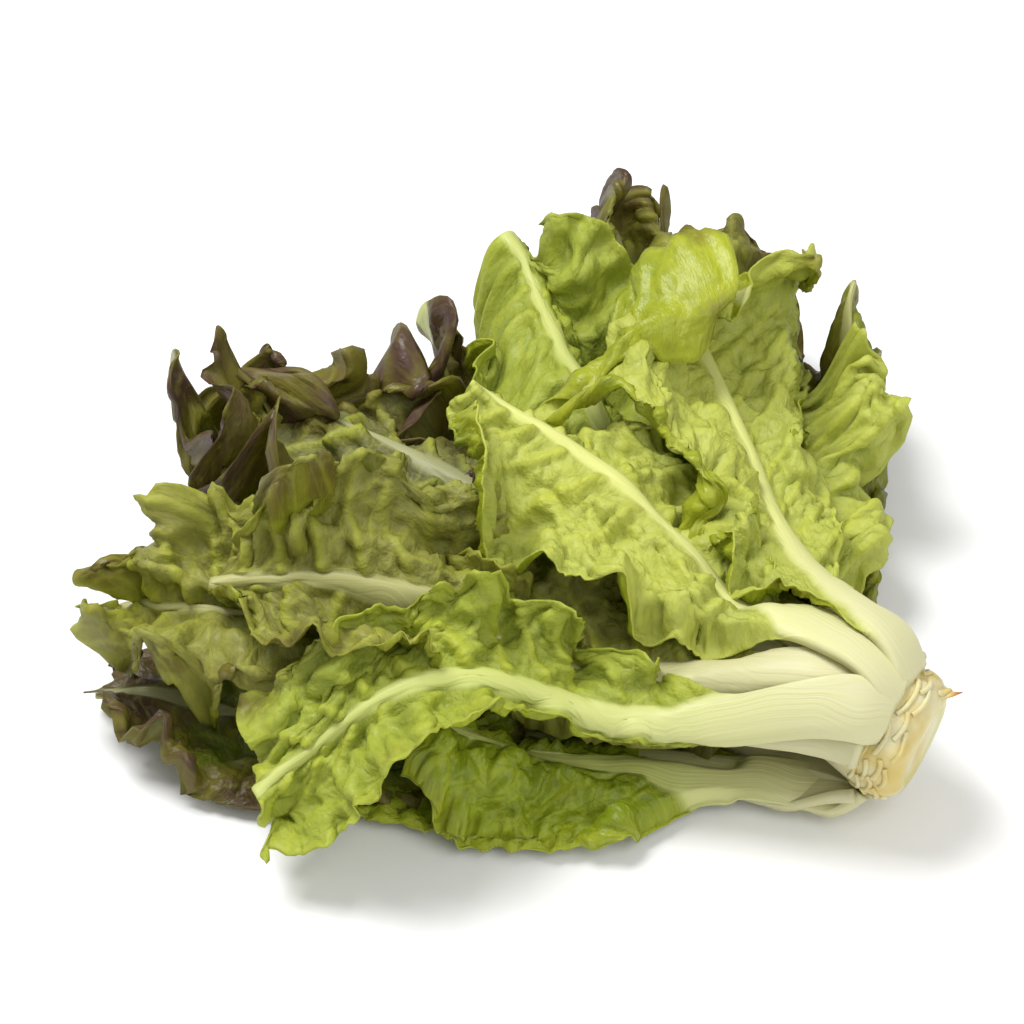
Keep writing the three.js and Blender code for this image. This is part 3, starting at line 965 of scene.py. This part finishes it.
def closed_tube(rings):
    """Corners and faces of a tube through rings of points, closed at both ends."""
    count, around = rings.shape[:2]
    index = np.arange(count * around).reshape(count, around)
    nexts = np.roll(index, -1, axis=1)
    faces = np.stack([index[:-1], index[1:], nexts[1:], nexts[:-1]], -1).reshape(-1, 4).tolist()
    faces.append(index[0].tolist())
    faces.append(index[-1][::-1].tolist())
    return rings.reshape(-1, 3), faces


def stem_body():
    """The stem's rings from the middle of its cut face, with how dry and how green each point is."""
    face_rings, side_rings, around = 9, 46, 96
    length = ((STEM_POINTS - CUT) @ AXIS).max()
    distances = np.concatenate([np.zeros(face_rings), np.linspace(0, length, side_rings)])
    rounded = 1 - 0.18 * np.linspace(1, 0, side_rings) ** 14
    shares = np.concatenate([np.linspace(0.02, 0.8, face_rings), rounded])
    angles = np.linspace(0, 2 * math.pi, around, endpoint=False)
    body = np.zeros((len(distances), around, 3))
    for i, (distance, share) in enumerate(zip(distances, shares)):
        radius = max(stem_radius(distance), 0.4 * MM) * share
        lumps = 1 + 0.09 * wander(20 * np.cos(angles), 20 * np.sin(angles) + 400 * distance, 6, 5) * share
        body[i, :, 0] = radius * lumps * np.cos(angles)
        body[i, :, 1] = radius * lumps * np.sin(angles)
        body[i, :, 2] = distance + (1.8 * MM * (1 - share ** 2) if distance == 0 else 0)
    dry = 0.22 * np.clip(1 - body[..., 2] / (8 * MM), 0, 1)
    ring = np.where(distances == 0, np.exp(-((shares - 0.7) / 0.09) ** 2), 0)
    return body, dry.ravel(), np.repeat(ring, around)


def dried_stub():
    """Rings of the torn stub of an old leaf beside the cut, with how dry each point is."""
    around = 16
    turns = np.linspace(0, 2 * math.pi, around, endpoint=False)
    steps = np.linspace(0, 1, 10)
    stub = np.zeros((len(steps), around, 3))
    for i, step in enumerate(steps):
        spread = math.sin(math.pi * min(0.5 + 0.48 * step, 0.99))
        stub[i, :, 0] = 17 * MM + 5 * MM * step ** 2 + 2.2 * MM * spread * np.cos(turns)
        stub[i, :, 1] = 6.5 * MM * spread * np.sin(turns)
        stub[i, :, 2] = 7 * MM - 10.5 * MM * step
    return stub, np.repeat(steps ** 3 * 1.1, around)


def stem_sheet():
    """The stem with its cut face at the origin and its length along Z, and the stub beside it."""
    body, body_dry, body_ring = stem_body()
    stub, stub_dry = dried_stub()
    points, faces = closed_tube(body)
    extra, extra_faces = closed_tube(stub)
    faces += [[corner + len(points) for corner in face] for face in extra_faces]
    dry = np.concatenate([body_dry, stub_dry])
    ring = np.concatenate([body_ring, np.zeros(len(extra))])
    mesh = bpy.data.meshes.new("stem_sheet")
    mesh.from_pydata(np.concatenate([points, extra]).tolist(), [], faces)
    for name, values in (("dry", dry), ("ring", ring)):
        mesh.attributes.new(name, "FLOAT", "POINT").data.foreach_set("value", values.astype(np.float32))
    mesh.materials.append(material_for("stem"))
    return mesh


def scar_tree():
    """Geometry nodes that set crescent leaf scars in a spiral round the stem."""
    tree, given = new_tree("Leaf scars", ("Width", "Thickness", "Reach", "Radius"), ("Count", "Seed"))

    def chance(low, high, step):
        seed = plus(tree, given["Seed"], float(step))
        inputs = {2: low, 3: high, "Seed": seed}
        return add(tree, "FunctionNodeRandomValue", inputs, data_type="FLOAT").outputs[1]

    def onto_stem(geometry):
        near = add(tree, "GeometryNodeProximity", {0: given["Geometry"]}, target_element="FACES")
        inputs = {"Geometry": geometry, "Position": near.outputs["Position"]}
        return out(tree, "GeometryNodeSetPosition", inputs)

    index = out(tree, "GeometryNodeInputIndex")
    angle = plus(tree, times(tree, index, GOLDEN_ANGLE), chance(-0.2, 0.2, 0))
    share = maths(tree, "DIVIDE", index, given["Count"])
    height = plus(tree, times(tree, share, given["Reach"]), chance(1 * MM, 2 * MM, 1))
    wide = times(tree, given["Radius"], 1.08)
    spot = out(tree, "ShaderNodeCombineXYZ", {
        "X": times(tree, maths(tree, "COSINE", angle), wide),
        "Y": times(tree, maths(tree, "SINE", angle), wide), "Z": height,
    })
    points = out(tree, "GeometryNodePoints", {"Count": given["Count"], "Position": spot})
    points = onto_stem(points)
    position = out(tree, "GeometryNodeInputPosition")
    outward = out(tree, "ShaderNodeVectorMath", {0: position, 1: (1, 1, 0)}, operation="MULTIPLY")
    facing = out(tree, "FunctionNodeAlignRotationToVector", {"Vector": outward}, axis="Z")
    facing = out(
        tree, "FunctionNodeAlignRotationToVector", {"Rotation": facing, "Vector": (0, 0, 1)},
        axis="Y", pivot_axis="Z",
    )
    bend = times(tree, given["Width"], 0.8)
    sweep = math.radians(54)
    arc = out(tree, "GeometryNodeCurveArc", {
        "Resolution": 9, "Radius": bend, "Start Angle": 1.5 * math.pi - sweep / 2, "Sweep Angle": sweep,
    }, mode="RADIUS")
    lowest_at_origin = out(tree, "ShaderNodeCombineXYZ", {"Y": bend})
    arc = out(tree, "GeometryNodeTransform", {"Geometry": arc, "Translation": lowest_at_origin})
    arcs = out(tree, "GeometryNodeInstanceOnPoints", {
        "Points": points, "Instance": arc, "Rotation": facing, "Scale": chance(0.6, 1.25, 2),
    })
    arcs = onto_stem(out(tree, "GeometryNodeRealizeInstances", {"Geometry": arcs}))
    half_thick = times(tree, given["Thickness"], 0.5)
    section = out(
        tree, "GeometryNodeCurvePrimitiveCircle", {"Resolution": 6, "Radius": half_thick}, mode="RADIUS",
    )
    scars = out(tree, "GeometryNodeCurveToMesh", {
        "Curve": arcs, "Profile Curve": section, "Fill Caps": True,
    })
    return close_tree(tree, given, joined(tree, stored(tree, scars, "dry", 0.2), given["Geometry"]))


def grow_stem():
    """Makes the stem's body with its trimmed face and leaf scars."""
    sizes = bpy.context.scene.stem_settings
    mesh = plain_mesh(stem_sheet(), scar_tree(), {
        "Width": sizes.scar_width, "Thickness": sizes.scar_thickness, "Reach": sizes.scar_reach,
        "Radius": sizes.radius, "Count": sizes.scar_count, "Seed": sizes.seed,
        "Material": material_for("stem"),
    })
    turn = Vector((0, 0, 1)).rotation_difference(Vector(AXIS)).to_matrix().to_4x4()
    mesh.transform(Matrix.Translation(Vector(CUT)) @ turn)
    if not mesh.polygons:
        raise RuntimeError("the stem came out empty")
    return place("stem_body", mesh, "stem", "stem")


# ---------------------------------------------------------------- operators


# Each soft light's place in metres, the side of its square, and its share of the main light's power.
LIGHTS = {"key": ((-0.42, 0.16, 1.1), 0.55, 1.0), "fill": ((0.55, -0.7, 0.9), 0.9, 0.5)}
LOOKED_AT = Vector((-0.8 * MM, -6.8 * MM, 40 * MM))
FLOOR_HALF = 6.0
FLOOR_SHADE = 0.92


class LETTUCE_OT_outer_leaves(bpy.types.Operator):
    """Grow the large outer leaves on top of the pile"""

    bl_idname = "lettuce.outer_leaves"
    bl_label = "Outer leaves"

    def execute(self, context):
        for node in OUTER:
            grow_leaf(node)
        return {"FINISHED"}


class LETTUCE_OT_middle_leaves(bpy.types.Operator):
    """Grow the middle leaves that show between and beyond the outer ones"""

    bl_idname = "lettuce.middle_leaves"
    bl_label = "Middle leaves"

    def execute(self, context):
        for node in MIDDLE:
            grow_leaf(node)
        return {"FINISHED"}


class LETTUCE_OT_inner_leaves(bpy.types.Operator):
    """Grow the inner leaves and the heart"""

    bl_idname = "lettuce.inner_leaves"
    bl_label = "Inner leaves"

    def execute(self, context):
        for node in INNER:
            grow_leaf(node)
        return {"FINISHED"}


class LETTUCE_OT_under_leaves(bpy.types.Operator):
    """Grow the leaves that lie under the stem"""

    bl_idname = "lettuce.under_leaves"
    bl_label = "Under leaves"

    def execute(self, context):
        for node in UNDER:
            grow_leaf(node)
        return {"FINISHED"}


class LETTUCE_OT_stem(bpy.types.Operator):
    """Make the cut stem"""

    bl_idname = "lettuce.stem"
    bl_label = "Stem"

    def execute(self, context):
        grow_stem()
        return {"FINISHED"}


class LETTUCE_OT_stage(bpy.types.Operator):
    """Set up the floor, the soft light and the camera"""

    bl_idname = "lettuce.stage"
    bl_label = "Stage"

    def execute(self, context):
        settings = context.scene.stage_settings
        low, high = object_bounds()
        self.add_floor(context, low.z - 0.1 * MM)
        for name, (where, size, share) in LIGHTS.items():
            self.add_light(context, name, where, size, settings.key_power * share, (low + high) / 2)
        world = context.scene.world or bpy.data.worlds.new("studio")
        context.scene.world = world
        world.use_nodes = True
        world.node_tree.nodes["Background"].inputs["Color"].default_value = (1, 1, 1, 1)
        world.node_tree.nodes["Background"].inputs["Strength"].default_value = settings.sky
        context.scene.view_settings.view_transform = "Standard"
        self.add_camera(context, settings)
        return {"FINISHED"}

    @staticmethod
    def add_floor(context, height):
        mesh = bpy.data.meshes.new("floor")
        signs = ((-1, -1), (1, -1), (1, 1), (-1, 1))
        corners = [(x * FLOOR_HALF, y * FLOOR_HALF, height) for x, y in signs]
        mesh.from_pydata(corners, [], [(0, 1, 2, 3)])
        floor = bpy.data.objects.new("floor", mesh)
        context.scene.collection.objects.link(floor)
        material = bpy.data.materials.new("pale_floor")
        material.use_nodes = True
        shader = material.node_tree.nodes["Principled BSDF"]
        shader.inputs["Base Color"].default_value = (FLOOR_SHADE, FLOOR_SHADE, FLOOR_SHADE, 1)
        shader.inputs["Roughness"].default_value = 0.7
        mesh.materials.append(material)
        floor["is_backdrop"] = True

    @staticmethod
    def add_light(context, name, where, size, power, target):
        light = bpy.data.lights.new(name, "AREA")
        light.size = size
        light.energy = power
        lamp = bpy.data.objects.new(name, light)
        lamp.location = where
        lamp.rotation_euler = (target - lamp.location).to_track_quat("-Z", "Y").to_euler()
        context.scene.collection.objects.link(lamp)

    @staticmethod
    def add_camera(context, settings):
        camera = bpy.data.cameras.new("camera")
        camera.lens = settings.lens
        camera.sensor_width = 36
        viewer = bpy.data.objects.new("camera", camera)
        back = Vector((0, -math.cos(settings.elevation), math.sin(settings.elevation)))
        viewer.location = LOOKED_AT + back * settings.distance
        viewer.rotation_euler = (-back).to_track_quat("-Z", "Y").to_euler()
        context.scene.collection.objects.link(viewer)
        context.scene.camera = viewer


class LETTUCE_PT_sidebar(bpy.types.Panel):
    """The steps of making the lettuce, in order"""

    bl_idname = "LETTUCE_PT_sidebar"
    bl_label = "Lettuce"
    bl_space_type = "VIEW_3D"
    bl_region_type = "UI"
    bl_category = "Lettuce"

    def draw(self, context):
        for step in STEPS:
            self.layout.operator(step.bl_idname)
        for group in SETTINGS:
            settings = getattr(context.scene, group)
            box = self.layout.box()
            for name in settings.__annotations__:
                box.prop(settings, name)


STEPS = (
    LETTUCE_OT_outer_leaves, LETTUCE_OT_middle_leaves, LETTUCE_OT_inner_leaves, LETTUCE_OT_stem,
    LETTUCE_OT_under_leaves, LETTUCE_OT_stage,
)
SETTINGS = {
    "leaf_settings": LeafSettings, "leaf_colours": LeafColours,
    "stem_settings": StemSettings, "stage_settings": StageSettings,
}
CLASSES = (*SETTINGS.values(), *STEPS, LETTUCE_PT_sidebar)


def register():
    """Adds the settings, the operators and the panel."""
    for item in CLASSES:
        bpy.utils.register_class(item)
    for name, kind in SETTINGS.items():
        setattr(bpy.types.Scene, name, bpy.props.PointerProperty(type=kind))


def unregister():
    """Removes what register added."""
    for name in SETTINGS:
        delattr(bpy.types.Scene, name)
    for item in reversed(CLASSES):
        bpy.utils.unregister_class(item)


def main():
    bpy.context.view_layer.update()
    register()
    bpy.ops.lettuce.outer_leaves()
    bpy.ops.lettuce.middle_leaves()
    bpy.ops.lettuce.inner_leaves()
    bpy.ops.lettuce.stem()
    bpy.ops.lettuce.under_leaves()
    bpy.ops.lettuce.stage()


if __name__ == "__main__":
    main()
